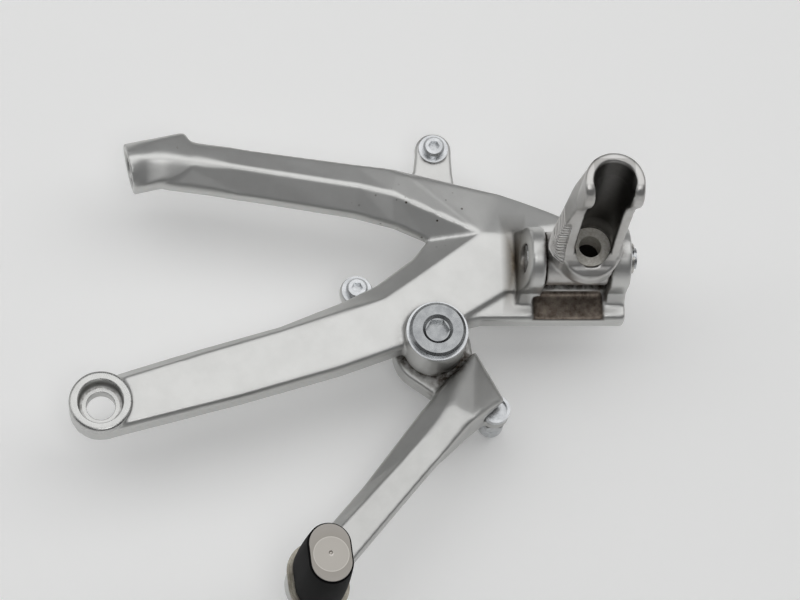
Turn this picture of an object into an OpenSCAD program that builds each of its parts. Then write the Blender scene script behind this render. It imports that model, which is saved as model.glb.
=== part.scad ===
// Motorcycle footpeg on its hanger, with the gear lever.
// Left-hand side, lying as seen from outside: +Z points away from the motorcycle.
// X runs along the hinge pin, Y runs up the picture, the origin is the lower mounting
// hole at the face that meets the frame. All sizes are in millimetres.

/* [Casting] */
// Height of the flat front face of the lower arm
face_z = 10.5; // [9:0.5:12]
// Height of the upper arm along its ridge
ridge_z = 12.5; // [11:0.5:14]
// How far the back of the casting is set behind its mounting pad
back_z = 0.5; // [0.3:0.1:1]
// Height of the hinge plate
plate_z = 9.1; // [8:0.1:10]
// Height of the outer edge of the sloped band on the lower arm
band_edge_z = 6; // [4.5:0.1:7.5]
// Height of the edge where the two arms meet
crotch_z = 5; // [4:0.1:6]

/* [Lower mounting eye] */
// Outer diameter of the eye
eye_d = 24; // [22:0.5:26]
// Thickness of the eye
eye_h = 12; // [11:0.5:13]
// Through hole for an M10 bolt
eye_bore_d = 11; // [10.5:0.1:12]
// Diameter of the recess for the bolt head
eye_recess_d = 17.3; // [16:0.1:18.5]
// Depth of the recess
eye_recess_h = 6.4; // [5:0.1:7.5]

/* [Upper mounting boss] */
// Direction of the boss axis in the plane of the casting
boss_angle = 13; // [8:1:18]
// Outer diameter of the boss
boss_d = 20; // [19:0.5:21]
// Length of the boss
boss_len = 25; // [22:1:28]
// Outer diameter of the steel insert
insert_d = 14.4; // [13:0.1:15]
// Hole in the insert
insert_bore_d = 10.2; // [9:0.1:11]
// Length of the insert
insert_len = 18; // [14:1:20]

/* [Lever pivot] */
// Outer diameter of the pivot boss
pivot_boss_d = 23.8; // [22:0.2:26]
// Height of the pivot boss
pivot_top_z = 17; // [15:0.5:19]
// Diameter of the pivot bolt
pivot_bolt_d = 10; // [8:1:12]
// Diameter of the pivot bolt head
pivot_head_d = 21.6; // [20:0.2:23]
// Height of the pivot bolt head
pivot_head_h = 2.6; // [2:0.1:4]
// Width across flats of the socket in that head
pivot_socket_af = 8; // [6:1:8]
// Wall of the plain bearing sleeve in the lever
bush_wall = 1.6; // [1.2:0.1:2]

/* [Hinge] */
// Diameter of the hinge pin
pin_d = 8; // [7:0.5:9]
// Height of the hinge pin above the back
pin_z = 22; // [21:0.5:23]
// Distance of the hinge pin up the plate
pin_y = 53.5; // [52:0.5:55]
// Width of the footpeg knuckle
knuckle_w = 24.6; // [22:0.2:26]
// Outer radius of the ears round the pin
ear_r = 12; // [11:0.5:12.5]
// Thickness of the left ear at the pin
ear_left_w = 7.4; // [6.5:0.1:8]
// Thickness of the right ear
ear_right_w = 7.5; // [6.5:0.1:8]

/* [Footpeg] */
// Height of the tip above the back of the casting
tip_z = 103; // [94:1:108]
// Outer radius of the grip at the tip
grip_r = 11; // [10.4:0.1:12]
// Radius of the open channel
channel_r = 6.8; // [6.2:0.1:7.4]
// Height of the round root face
root_z = 36; // [35:0.5:38]
// Radius of the round root
root_r = 12.4; // [12:0.1:13]
// Outer diameter of the ring in the root face
ring_d = 15.6; // [14:0.2:16]
// How far the grip stands to the right of the middle of the knuckle
peg_offset = 3.5; // [2:0.5:4]
// Hole in the root, for the grip screw
ring_bore_d = 8.6; // [7:0.1:9]

/* [Gear lever] */
// Thickness of the lever hub
hub_h = 10; // [8:0.5:12]
// Radius of the lever hub
hub_r = 15.2; // [14:0.2:16]
// Front height of the lever arm
lever_top_z = 9; // [8:0.5:10]
// Thickness of the lever arm
lever_t = 10; // [8:0.5:11]
// Radius of the round pad under the toe peg
toe_pad_r = 11.5; // [10:0.5:13]
// Radius of the linkage eye
link_r = 5.6; // [5:0.1:6.5]

/* [Toe peg] */
// Height of the toe peg above the lever arm
toe_h = 38; // [34:1:44]
// Width of the metal core of the toe peg
toe_w = 14.8; // [13:0.2:16]
// Length of its oval section
toe_l = 21.4; // [20:0.2:24]
// Thickness of the rubber round the core
toe_rubber_t = 2.1; // [1.5:0.1:2.5]
// Angle at which the toe peg leans outwards
toe_lean = 4; // [0:1:6]

/* [Small fasteners] */
// Diameter of the screws in the two lugs
lug_screw_d = 6; // [5:0.5:6]
// Outer diameter of the lug washers
lug_washer_d = 11.6; // [10:0.2:12]

/* [Fits] */
// Radial clearance of a bore that turns on a pin
turn_gap = 0.05; // [0.03:0.01:0.08]
// Gap between flat faces that slide on each other
slide_gap = 0.25; // [0.2:0.05:0.3]
// Radial clearance of a bolt in its hole
bolt_gap = 0.3; // [0.2:0.05:0.4]

/* [Hidden] */
$fn = 96;
eps = 0.01;
press_gap = 0.02;
CAST = [0.79, 0.79, 0.77];
ZINC = [0.66, 0.68, 0.71];
STEEL = [0.72, 0.71, 0.68];
RAW = [0.86, 0.86, 0.84];
RUBBER = [0.12, 0.12, 0.13];

// Front view of the casting, point by point. The band is the dark slope along the
// upper edge of the lower arm, and the ridge divides the two faces of the upper arm.
lower_edge = [[2.9, -11.6], [53, 1.6], [90.9, 12.8], [118, 22.6]];
band_inner = [[4.2, 8.2], [37.9, 16.4], [69.5, 25.9], [92.5, 35.5], [109, 41.8], [121, 50.2],
    [146.2, 68.5]];
band_outer = [[3, 11.4], [37.4, 21.4], [68, 30.6], [91.2, 41], [105.2, 48.2], [119.8, 59.4]];
crotch = [126, 67.4, crotch_z];
ridge = [[24, 99.3, ridge_z], [57.1, 94.1, ridge_z], [99, 87.3, ridge_z], [112, 84.2, ridge_z],
    [146.2, 68.5, face_z]];
upper_top = [[28, 108.4], [57.3, 103.2], [97, 97.6], [115, 95.4], [154.4, 84.8]];
upper_bottom = [[24, 89], [57.3, 84.5], [97, 77.8], [113, 73.4]];
plate_low_y = 33.1;
step_start = [138.1, 33.6];
step_end = [155.6, 44.4];
hinge_wall_x = 157.6;
edge_chamfer = 1.6;

// Places worked out from the sizes above
eye_r = eye_d / 2;
boss_at = [10.2, 97, 4];
boss_dir = [cos(boss_angle), sin(boss_angle), 0];
pivot = [127.2, 25.5];
pivot_boss_r = pivot_boss_d / 2;
pivot_back_z = -1;
washer_t = 1;
thrust_t = 1.2;
hub_top_z = pivot_back_z - thrust_t - slide_gap;
hub_back_z = hub_top_z - hub_h;
pivot_bolt_r = pivot_bolt_d / 2;
bush_r = pivot_bolt_r + turn_gap + bush_wall;
seal_r = bush_r + 1.9;
seal_t = 2;
rear_washer_t = 1.6;
rear_washer_z = hub_back_z - slide_gap;
nut_h = 7;
nut_z = rear_washer_z - rear_washer_t;
pin_r = pin_d / 2;
ear_left_x = 168.4;
ear_right_x = ear_left_x + knuckle_w + 2 * slide_gap;
ear_right_end = ear_right_x + ear_right_w;
plate_end_x = ear_right_end + 0.1;
knuckle_x = ear_left_x + slide_gap;
pin_head_r = pin_r + 1;
pin_head_t = 2.2;
pin_left_x = ear_left_x - ear_left_w + 0.8;
hinge_washer_t = 0.8;
clip_t = 1;
clip_x = ear_right_end + hinge_washer_t + 0.05;
pin_end_x = clip_x + clip_t + 1.2;
peg_x = knuckle_x + knuckle_w / 2 + peg_offset;
peg_y = pin_y - 0.8;
heel_z = plate_z + 0.25;
heel_y = pin_y - 5.8;
knuckle_r = ear_r - 1.8;
spring_wire_r = 0.8;
spring_r = pin_r + 2;
spring_leg_r = spring_wire_r - 0.1;
spring_pitch = 2 * spring_wire_r + 0.12;
spring_coils = 3;
spring_x = knuckle_x + spring_wire_r + 0.5;
spring_bay_r = spring_r + spring_wire_r + 0.5;
spring_bay_w = (spring_coils - 1) * spring_pitch + 2 * spring_wire_r + 1.2;
upper_lug = [130, 108.3, -2];
lower_lug = [98.5, 50, -5.2];
lug_washer_t = 1.2;
lug_t = 5;
lug_screw_r = lug_screw_d / 2;
lug_head_d = 8.4;
lug_head_h = 3;
// Outline of each lug's neck, and of the foot that joins it to the back of the casting
upper_lug_r = 7.2;
upper_lug_neck = [[117, 88], [122, 100], [123.4, 111.3], [137, 107.3], [137.4, 98], [139, 84]];
upper_lug_foot = [[117, 82], [118, 91], [136, 89], [139, 82]];
lower_lug_r = 6.6;
lower_lug_neck = [[92.1, 49], [103.5, 54.2], [112, 40], [98, 30]];
lower_lug_foot = [[98, 30], [94.6, 37], [104.5, 43.5], [112, 40]];
// Corners of the casting that lie under other faces
arm_under = [127, 26];
plate_under = [[130, 40], [132, 30], [145.5, plate_low_y], [146, 68], [152, 70]];
// Shoulder between the upper arm and the hinge plate
shoulder_inner = [plate_end_x, 63, plate_z];
shoulder_outer = [plate_end_x, 66, plate_z - 1];
shoulder_top = [173.7, 77.5, plate_z - 0.6];
// Foot of the ears on the plate, and the raw pocket between them
ear_foot = [39.4, 42, 68, 71.5];
pocket = [26.8, 14.6, 1.3];
pocket_y = 30;
insert_start = 2;
rear_washer_r = 10;
nut_af = 16;
link_nut_af = 10;
link_screw_r = 3;
link_ball_r = 5;
toe_screw_r = 3;
toe_screw_head_r = 5;
lever_back_z = lever_top_z - lever_t;
link = [151, 1.4];
link_seat_z = hub_top_z - 4.5;
toe = [80.4, -69];
toe_base_z = lever_top_z + 1;
toe_pad_t = lever_t + 1;
collar_t = 3.6;

function flat(p) = [p[0], p[1]];
function lift(p, z) = [p[0], p[1], z];
function normal_of(a, b) = [a[1] - b[1], b[0] - a[0]] / norm(b - a);
// A path moved sideways by d, with mitred corners
function inset(path, d) = [for (i = [0 : len(path) - 1])
    let (n0 = normal_of(path[max(i - 1, 0)], path[max(i - 1, 0) + 1]))
    let (n1 = normal_of(path[min(i, len(path) - 2)], path[min(i, len(path) - 2) + 1]))
    path[i] + (n0 + n1) * d / (1 + n0 * n1)];
function all_at(path, z) = [for (p = path) lift(p, z)];
function reversed(path) = [for (i = [len(path) - 1 : -1 : 0]) path[i]];

// Which way three points run round, seen from the front
function turn(a, b, c) = cross(flat(b) - flat(a), flat(c) - flat(a));

// A three-sided column from a flat base up to the triangle abc
module column(a, b, c, base = back_z) {
    top = turn(a, b, c) > 0 ? [a, b, c] : [a, c, b];
    polyhedron(points = concat(top, all_at(top, base)),
        faces = [[2, 1, 0], [3, 4, 5], [0, 1, 4, 3], [1, 2, 5, 4], [2, 0, 3, 5]]);
}

// A run of sloped faces between an inner and an outer line in space, solid down to
// a flat base. Points 0 to n - 1 are one line, n to 2n - 1 the other, then the base.
module facets(inner, outer, base = back_z) {
    n = len(inner);
    left = turn(inner[0], inner[1], outer[0]) > 0;
    top = left ? concat(inner, outer) : concat(reversed(inner), reversed(outer));
    rim = concat([for (i = [0 : n - 1]) i], [for (i = [2 * n - 1 : -1 : n]) i]);
    slopes = [for (i = [0 : n - 2]) each [[i + n, i + 1, i], [i + n, i + n + 1, i + 1]]];
    floor = [for (f = slopes) [f[2] + 2 * n, f[1] + 2 * n, f[0] + 2 * n]];
    walls = [for (i = [0 : 2 * n - 1])
        let (p = rim[i], q = rim[(i + 1) % (2 * n)])
        [p, q, q + 2 * n, p + 2 * n]];
    polyhedron(points = concat(top, all_at(top, base)), faces = concat(slopes, floor, walls));
}

// A cylinder whose axis points along X
module rod_x(x0, x1, r) {
    translate([x0, pin_y, pin_z])
        rotate([0, 90, 0])
            cylinder(h = x1 - x0, r = r);
}

module ring(z, h, r_out, r_in) {
    translate([0, 0, z])
        rotate_extrude()
            translate([r_in, 0])
                square([r_out - r_in, h]);
}

// An oval with straight sides, as wide as w and as long as l
module oval(w, l) {
    square([w, l - w], center = true);
    for (side = [-1, 1])
        translate([0, side * (l - w) / 2])
            circle(d = w);
}

// Hexagon socket or nut outline
module hexagon(af) {
    circle(d = af / cos(30), $fn = 6);
}

module lower_arm() {
    low = inset(lower_edge, edge_chamfer);
    translate([0, 0, back_z])
        linear_extrude(face_z - back_z)
            polygon(concat(low, [arm_under, step_start, step_end, [hinge_wall_x + 2, step_end[1]],
                [hinge_wall_x + 2, plate_under[4][1]], plate_under[4]], reversed(band_inner)));
    facets(all_at(band_inner, face_z), concat(all_at(band_outer, band_edge_z), [crotch]));
    facets(all_at(low, face_z), all_at(lower_edge, face_z - edge_chamfer));
}

module upper_arm() {
    facets(ridge, all_at(upper_top, ridge_z - 3));
    facets(ridge, concat(all_at(upper_bottom, ridge_z - 6.5), [crotch]));
    // Shoulder between the arm and the hinge
    top = lift(upper_top[4], ridge_z - 3);
    facets([ridge[4], shoulder_inner], [top, shoulder_top]);
    column(shoulder_inner, shoulder_top, shoulder_outer);
}

module hinge_plate() {
    edge = [plate_under[1], plate_under[2], [plate_end_x, plate_low_y]];
    low = inset(edge, edge_chamfer);
    translate([0, 0, back_z])
        linear_extrude(plate_z - back_z)
            polygon(concat(low, [[plate_end_x, shoulder_inner[1] + 1], plate_under[3],
                plate_under[0]]));
    facets(all_at(low, plate_z), all_at(edge, plate_z - edge_chamfer));
}

// Side view of an ear: a round head on a foot that widens towards the plate
module ear_outline() {
    polygon([[ear_foot[0], back_z], [ear_foot[0], plate_z + 0.6], [ear_foot[1], plate_z + 5],
        [pin_y - ear_r, pin_z], [pin_y + ear_r, pin_z], [ear_foot[2], plate_z + 4],
        [ear_foot[3], plate_z], [ear_foot[3], back_z]]);
    translate([pin_y, pin_z])
        circle(r = ear_r);
}

module ear(x0, x1) {
    translate([x0, 0, 0])
        rotate([90, 0, 90])
            linear_extrude(x1 - x0)
                ear_outline();
}

module left_ear() {
    difference() {
        ear(hinge_wall_x - 1, ear_left_x);
        // The outer face leans inwards by about ten degrees
        translate([ear_left_x - ear_left_w, 0, pin_z])
            rotate([0, 10, 0])
                translate([-30, 20, -40])
                    cube([30, 80, 80]);
    }
}

// Turned profile of the mounting eye, with rounded edges
module eye_blank() {
    r = 2;
    rotate_extrude() {
        square([eye_r, eye_h - r]);
        square([eye_r - r, eye_h]);
        translate([eye_r - r, eye_h - r])
            circle(r = r);
    }
}

module boss_turn(h, r, from = 0) {
    translate(boss_at + boss_dir * from)
        rotate([0, 90, boss_angle])
            cylinder(h = h, r = r);
}

module pivot_boss() {
    translate(pivot) {
        translate([0, 0, pivot_back_z])
            cylinder(h = pivot_top_z - pivot_back_z, r = pivot_boss_r);
        // Foot of the boss on the face of the casting
        intersection() {
            translate([0, 0, face_z - 0.5])
                cylinder(h = 2, r1 = pivot_boss_r + 2, r2 = pivot_boss_r);
            translate([-20, 2, 0])
                cube([40, 20, 20]);
        }
    }
}

// A flat tab behind the casting, with its round end at p
module lug(p, r, neck, foot) {
    translate([0, 0, p[2] - lug_t])
        linear_extrude(lug_t) {
            translate(flat(p))
                circle(r = r);
            polygon(neck);
        }
    translate([0, 0, p[2] - 1])
        linear_extrude(back_z - p[2] + 2)
            polygon(foot);
}

module lugs() {
    lug(upper_lug, upper_lug_r, upper_lug_neck, upper_lug_foot);
    lug(lower_lug, lower_lug_r, lower_lug_neck, lower_lug_foot);
}

module hanger() {
    color(CAST)
        difference() {
            union() {
                lower_arm();
                upper_arm();
                hinge_plate();
                eye_blank();
                boss_turn(boss_len, boss_d / 2);
                pivot_boss();
                left_ear();
                ear(ear_right_x, ear_right_end);
                lugs();
            }
            // Lower mounting hole and its recess
            translate([0, 0, -eps])
                cylinder(h = eye_h + 1, d = eye_bore_d);
            translate([0, 0, eye_h - eye_recess_h])
                cylinder(h = eye_recess_h + 1, d = eye_recess_d);
            // Bore of the upper boss
            boss_turn(insert_len + insert_start + eps, insert_d / 2, -eps);
            // Pivot bolt hole
            translate(lift(pivot, pivot_back_z - 1))
                cylinder(h = pivot_top_z + 3, r = pivot_bolt_r + bolt_gap);
            // Hinge pin holes and the seat of its head
            rod_x(hinge_wall_x - 5, ear_right_end + 1, pin_r);
            rod_x(hinge_wall_x - 5, pin_left_x + pin_head_t, pin_head_r + bolt_gap);
            // Raw pocket in the plate, in front of the knuckle
            translate([ear_left_x - 3, pocket_y, plate_z - pocket[2]])
                cube([pocket[0], pocket[1], pocket[2] + 3]);
            // Holes of the lug screws
            for (p = [upper_lug, lower_lug])
                translate(p - [0, 0, lug_t + 1])
                    cylinder(h = lug_t + 2, r = lug_screw_r);
        }
}

module upper_mount_insert() {
    color(STEEL)
        difference() {
            boss_turn(insert_len, insert_d / 2, insert_start);
            boss_turn(insert_len + 2, insert_bore_d / 2, insert_start - 1);
        }
}

module pivot_bolt() {
    head_z = pivot_top_z + washer_t;
    color(ZINC)
        translate(pivot)
            difference() {
                union() {
                    translate([0, 0, nut_z - nut_h - 2])
                        cylinder(h = head_z - nut_z + nut_h + 2, r = pivot_bolt_r);
                    translate([0, 0, head_z])
                        rotate_extrude()
                            polygon([[0, 0], [pivot_head_d / 2, 0],
                                [pivot_head_d / 2, pivot_head_h - 0.9],
                                [pivot_head_d / 2 - 1.1, pivot_head_h], [0, pivot_head_h]]);
                }
                translate([0, 0, head_z + pivot_head_h - 4])
                    linear_extrude(5)
                        hexagon(pivot_socket_af);
                translate([0, 0, head_z + pivot_head_h - 1.2])
                    cylinder(h = 1.3, r1 = pivot_socket_af / 2 + 0.6, r2 = 5.9);
            }
}

module pivot_washer_front() {
    color(ZINC)
        translate(pivot)
            ring(pivot_top_z, washer_t, pivot_boss_r - 0.1, pivot_bolt_r + bolt_gap);
}

module pivot_washer_thrust() {
    color(STEEL)
        translate(pivot)
            ring(pivot_back_z - thrust_t, thrust_t, pivot_boss_r - 0.6, pivot_bolt_r + bolt_gap);
}

module pivot_washer_rear() {
    color(ZINC)
        translate(pivot)
            ring(nut_z, rear_washer_t, rear_washer_r, pivot_bolt_r + bolt_gap);
}

module pivot_nut() {
    color(ZINC)
        translate(lift(pivot, nut_z - nut_h))
            difference() {
                intersection() {
                    linear_extrude(nut_h)
                        hexagon(nut_af);
                    // The corners of the free end are chamfered
                    rotate_extrude()
                        polygon([[0, 0], [nut_af / 2 + 0.2, 0], [nut_af / 2 + 1.3, 1],
                            [nut_af / 2 + 1.3, nut_h], [0, nut_h]]);
                }
                translate([0, 0, -1])
                    cylinder(h = nut_h + 2, r = pivot_bolt_r);
            }
}

// A socket screw through a lug whose front face is at p
module lug_screw(p, head_d, head_h) {
    translate(p)
        difference() {
            union() {
                translate([0, 0, -lug_t - 2])
                    cylinder(h = lug_washer_t + lug_t + 2, r = lug_screw_r);
                translate([0, 0, lug_washer_t])
                    rotate_extrude()
                        polygon([[0, 0], [head_d / 2, 0], [head_d / 2, head_h - 0.8],
                            [head_d / 2 - 0.8, head_h], [0, head_h]]);
            }
            translate([0, 0, lug_washer_t + head_h - 2.2])
                linear_extrude(3)
                    hexagon(lug_screw_d * 0.66);
        }
}

module upper_lug_screw() {
    color(ZINC)
        lug_screw(upper_lug, lug_head_d, lug_head_h);
}

module lower_lug_screw() {
    color(ZINC)
        lug_screw(lower_lug, lug_head_d, lug_head_h);
}

module upper_lug_washer() {
    color(ZINC)
        translate(upper_lug)
            ring(0, lug_washer_t, lug_washer_d / 2, lug_screw_r + 0.2);
}

module lower_lug_washer() {
    color(ZINC)
        translate(lower_lug)
            ring(0, lug_washer_t, lug_washer_d / 2, lug_screw_r + 0.2);
}

module hinge_pin() {
    color(ZINC)
        difference() {
            union() {
                rod_x(pin_left_x, pin_end_x, pin_r);
                rod_x(pin_left_x, pin_left_x + pin_head_t, pin_head_r);
            }
            // Groove of the circlip
            translate([clip_x, pin_y, pin_z])
                rotate([0, 90, 0])
                    ring(0, clip_t, pin_r + 1, pin_r - 0.7);
        }
}

module hinge_washer() {
    color(ZINC)
        translate([ear_right_end, pin_y, pin_z])
            rotate([0, 90, 0])
                ring(0, hinge_washer_t, pin_r + 3, pin_r + 0.1);
}

// Open spring clip in the groove of the pin
module hinge_circlip() {
    color(STEEL)
        translate([clip_x, pin_y, pin_z])
            rotate([0, 90, 0])
                linear_extrude(clip_t)
                    difference() {
                        circle(r = pin_r + 1.8);
                        circle(r = pin_r - 0.65);
                        translate([-(pin_r + 3), -1.6])
                            square([pin_r + 3, 3.2]);
                    }
}

// Wound spring round the pin: its coils lie side by side, and its two legs
// run to the plate and into the knuckle
module return_spring() {
    color(STEEL) {
        for (i = [0 : spring_coils - 1])
            translate([spring_x + i * spring_pitch, pin_y, pin_z])
                rotate([0, 90, 0])
                    rotate_extrude()
                        translate([spring_r, 0])
                            circle(r = spring_wire_r, $fn = 32);
        translate([spring_x, pin_y - spring_r, plate_z + 0.05])
            cylinder(h = pin_z - plate_z, r = spring_leg_r, $fn = 32);
        translate([spring_x + (spring_coils - 1) * spring_pitch, pin_y + spring_r, pin_z])
            cylinder(h = 7, r = spring_leg_r, $fn = 32);
    }
}

// Side view of the knuckle: round at the pin, with a heel that stops on the plate
module knuckle_outline() {
    translate([pin_y, pin_z])
        circle(r = knuckle_r);
    translate([heel_y, heel_z])
        square([12, pin_z - heel_z]);
}

// Outline of the lip's straight walls, seen from the tip
module lip_outline() {
    translate([-grip_r, -13])
        square([2 * grip_r, 13]);
}

// The rim of the scoop, seen from the side: height, and distance in front of the grip's
// axis. It starts as a low wall round the root, runs back along the channel, and comes
// forward again in a lip below the tip.
rim = [[32, 13.4], [33.6, 12.7], [35.4, 11.4], [36.6, 9.6], [37.4, 8], [39, 6.6], [41.5, 5.2],
    [45, 4.1], [50, 3.4], [57, 2.9], [66, 2.3], [73, 1.8], [78, 2], [82, 2.8], [86, 4.1],
    [90, 5.6], [93, 6.4], [96, 6.7], [98.5, 6.2], [100.8, 5], [102.3, 3.2], [103.2, 0.8]];
rim_scale = (tip_z - rim[0][0]) / (103 - rim[0][0]);

// Side view of what the front of the grip loses
module front_cut_outline() {
    polygon(concat([[0, rim[0][0]]], [for (p = rim)
        [peg_y - p[1], rim[0][0] + (p[0] - rim[0][0]) * rim_scale]], [[0, tip_z + 1]]));
}

module footpeg() {
    color(CAST)
        difference() {
            union() {
                translate([knuckle_x, 0, 0])
                    rotate([90, 0, 90])
                        linear_extrude(knuckle_w)
                            knuckle_outline();
                // Round root, which narrows to the gap between the ears
                translate([peg_x, peg_y, pin_z + ear_r + 0.7])
                    cylinder(h = root_z - pin_z - ear_r + 3, r = root_r);
                intersection() {
                    translate([peg_x, peg_y, pin_z]) {
                        translate([0, 0, 7])
                            cylinder(h = root_z - pin_z - 7, r = root_r);
                        cylinder(h = 7, r1 = knuckle_r - 0.6, r2 = root_r);
                    }
                    translate([knuckle_x, 0, 0])
                        cube([knuckle_w, 100, 60]);
                }
                // Grip: a tube whose walls run straight forward towards the lip
                translate([peg_x, peg_y, root_z])
                    cylinder(h = tip_z - root_z, r = grip_r);
                translate([peg_x, peg_y, root_z + 32])
                    linear_extrude(tip_z - root_z - 32)
                        lip_outline();
                // Shoulder that widens the left wall towards the root
                difference() {
                    translate([0, 0, pin_z + 2])
                        linear_extrude(72)
                            polygon([[knuckle_x, peg_y - 1], [knuckle_x + 1.4, peg_y - 4],
                                [knuckle_x + 4, peg_y - 6.4], [knuckle_x + 9, peg_y - 8],
                                [peg_x, peg_y - 8], [peg_x, peg_y + 8.6],
                                [knuckle_x + 5, peg_y + 8.6], [knuckle_x, peg_y + 2]]);
                    translate([knuckle_x, 0, root_z + 14])
                        rotate([0, 9, 0])
                            translate([-40, 0, -60])
                                cube([40, 100, 160]);
                }
            }
            // Channel: wide over the ring, then narrow, and flared at the tip
            translate([peg_x, peg_y, root_z]) {
                cylinder(h = 14, r1 = ring_d / 2 + 0.4, r2 = channel_r);
                translate([0, 0, 13])
                    cylinder(h = tip_z, r = channel_r);
                translate([0, 0, tip_z - root_z - 12])
                    cylinder(h = 13, r1 = channel_r - 0.1, r2 = channel_r + 1);
            }
            translate([peg_x - channel_r, peg_y - 30, root_z + 8])
                cube([2 * channel_r, 30, tip_z]);
            translate([peg_x - 30, 0, 0])
                rotate([90, 0, 90])
                    linear_extrude(60)
                        front_cut_outline();
            // Room behind the pin, so that the knuckle rolls over the plate as it folds
            translate([knuckle_x - 1, 0, 0])
                rotate([90, 0, 90])
                    linear_extrude(knuckle_w + 2)
                        difference() {
                            translate([pin_y, plate_z - 1])
                                square([20, pin_z - plate_z + 1]);
                            translate([pin_y, pin_z])
                                circle(r = ear_r + 0.5);
                        }
            // Hinge bore and the bay of the return spring
            rod_x(knuckle_x - 1, knuckle_x + knuckle_w + 1, pin_r + turn_gap);
            rod_x(knuckle_x - 1, knuckle_x + spring_bay_w, spring_bay_r);
            translate([knuckle_x - 1, pin_y - spring_bay_r, heel_z - 1])
                cube([spring_x - knuckle_x + 2.2, 3, pin_z - heel_z + 1]);
            translate([spring_x + (spring_coils - 1) * spring_pitch, pin_y + spring_r, pin_z])
                cylinder(h = 8, r = spring_wire_r + 0.3, $fn = 32);
            // Seat of the ring
            translate([peg_x, peg_y, root_z - 1.6])
                cylinder(h = 3, r = ring_d / 2 + press_gap);
            translate([peg_x, peg_y, pin_z + pin_r + 1.6])
                cylinder(h = 20, r = ring_bore_d / 2 + 1.5 + press_gap);
        }
}

module peg_ring() {
    color(STEEL)
        translate([peg_x, peg_y]) {
            ring(root_z - 1.6, 2.2, ring_d / 2, ring_bore_d / 2);
            ring(pin_z + pin_r + 1.6, root_z - pin_z - pin_r - 3.2, ring_bore_d / 2 + 1.5,
                ring_bore_d / 2);
        }
}

// Front view of the lever, from its root beside the pivot down to the toe peg
lever_edge = [[143.3, 23.2], [134, 13.4], [122, -1], [110, -16.7], [98, -32.3], [84.5, -48],
    [71, -63.5]];
lever_fold = [[143.6, 22.4], [132, -1.2], [128.5, -6.3], [115.5, -20.8], [102.2, -35.2],
    [88.5, -50], [75.5, -65]];
lever_side = [[139.4, -8.8], [123.6, -26.5], [108, -44.8], [94.1, -61.2],
    [89, -72]];

lever_corner = [142, -6.7];
lever_end = [[146.4, -3.2], [153.8, 3.2]];
lever_apex_z = lever_top_z - 7;

module lever_arm() {
    z = lever_top_z;
    apex = lift(lever_fold[0], lever_apex_z);
    corner = lift(lever_corner, z);
    tail = lift(lever_end[1], lever_apex_z);
    folds = [for (i = [1 : len(lever_fold) - 1]) lift(lever_fold[i], z)];
    edges = [for (i = [1 : len(lever_edge) - 1]) lift(lever_edge[i], z - 5)];
    translate([0, 0, lever_back_z])
        linear_extrude(lever_t)
            polygon(concat([for (p = folds) flat(p)], reversed(lever_side), [lever_corner]));
    // Sloped band along the left edge
    facets(concat([apex], folds), concat([lift(lever_edge[0], lever_apex_z - 0.4)], edges),
        lever_back_z);
    // Facet that falls away beside the pivot
    column(apex, folds[0], corner, lever_back_z);
    column(apex, corner, tail, lever_back_z);
    column(corner, lift(lever_end[0], z - 2.5), tail, lever_back_z);
    // Pad of the toe peg
    at_toe()
        translate([0, 0, -toe_pad_t])
            cylinder(h = toe_pad_t, r = toe_pad_r);
}

module gear_lever() {
    color(CAST)
        difference() {
            union() {
                lever_arm();
                // Hub and its web, behind the casting
                translate([0, 0, hub_back_z])
                    linear_extrude(hub_h) {
                        translate(pivot)
                            circle(r = hub_r);
                        polygon([pivot + [-9.75, -11.65], [127.5, 6.6], [139, -6], [148, -1], link,
                            [142.8, 21.7], pivot + [15, 2.4], pivot]);
                        translate(link)
                            circle(r = link_r);
                    }
                // Root block, which rises beside the pivot boss
                translate([0, 0, hub_back_z])
                    linear_extrude(lever_back_z - hub_back_z + 1)
                        polygon([[143.3, 22.9], [127.5, 6.6], [117, -7.4], [129.6, -18],
                            [139.4, -8.8], [146.4, -3.2], [152, 1.8]]);
            }
            translate(lift(pivot, hub_back_z - 1))
                cylinder(h = hub_h + 2, r = bush_r);
            for (z = [hub_back_z - eps, hub_top_z - seal_t])
                translate(lift(pivot, z))
                    cylinder(h = seal_t + eps, r = seal_r);
            translate(lift(link, hub_back_z - 1))
                cylinder(h = hub_h + 2, r = link_screw_r);
            // Seat of the linkage stud flange
            translate(lift(link, link_seat_z))
                cylinder(h = 6, r = link_r + 0.4);
            // Hole of the toe peg screw
            at_toe()
                translate([0, 0, -toe_pad_t - 1])
                    cylinder(h = toe_pad_t + 2, r = toe_screw_r + bolt_gap);
        }
}

module lever_bush() {
    color([0.72, 0.6, 0.36])
        translate(pivot)
            ring(hub_back_z + eps, hub_h - 2 * eps, bush_r, pivot_bolt_r + turn_gap);
}

module lever_seal_front() {
    color(RUBBER)
        translate(pivot)
            ring(hub_top_z - seal_t, seal_t, seal_r, bush_r);
}

module lever_seal_rear() {
    color(RUBBER)
        translate(pivot)
            ring(hub_back_z, seal_t, seal_r, bush_r);
}

// Ball stud of the gear linkage: flange in front, ball behind
module linkage_stud() {
    color(ZINC)
        translate(link) {
            difference() {
                translate([0, 0, link_seat_z])
                    cylinder(h = 3, r = link_r);
                translate([0, 0, link_seat_z + 1.6])
                    cylinder(h = 3, r = link_r - 1.2);
            }
            translate([0, 0, hub_back_z - 9])
                cylinder(h = link_seat_z - hub_back_z + 9 + eps, r = link_screw_r);
            translate([0, 0, hub_back_z - 12])
                sphere(r = link_ball_r);
        }
}

module linkage_nut() {
    color(ZINC)
        translate(lift(link, hub_back_z - 5))
            difference() {
                linear_extrude(5)
                    hexagon(link_nut_af);
                translate([0, 0, -1])
                    cylinder(h = 7, r = link_screw_r);
            }
}

// The toe peg leans slightly outwards from its pad on the lever
module at_toe() {
    translate(lift(toe, toe_base_z))
        rotate([0, toe_lean, 0])
            rotate([0, 0, 6])
                children();
}

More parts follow.
